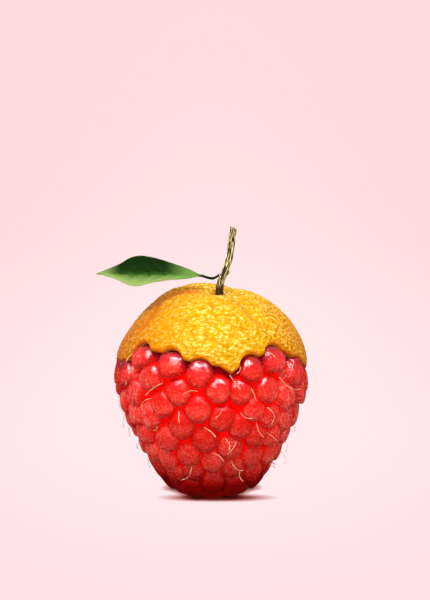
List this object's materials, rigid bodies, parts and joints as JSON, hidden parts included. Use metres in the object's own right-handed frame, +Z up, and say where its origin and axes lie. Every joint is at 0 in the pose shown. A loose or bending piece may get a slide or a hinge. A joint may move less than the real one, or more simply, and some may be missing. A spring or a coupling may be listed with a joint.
{
  "type": "raspberry with an orange peel cap, twig and leaf",
  "caption": "Plump red raspberry standing on its flattened tip, capped with orange peel that is scalloped round the top drupelets, with a short woody twig and a pointed citrus leaf.",
  "frame": {"origin": "middle of the flat spot under the berry's tip, on the surface that it stands on", "axes": "+Z up along the berry's axis, -Y towards the viewer (front), +X to the viewer's right; the leaf points to -X"},
  "size_m": [0.0307, 0.0279, 0.0392],
  "materials": {
    "drupelets": "gloss",
    "peel": "satin",
    "bark": "matte",
    "leaf": "satin"
  },
  "bodies": {
    "root": {"raspberry": "drupelets", "orange_peel": "peel", "twig": "bark", "leaf": "leaf"}
  },
  "joints": []
}
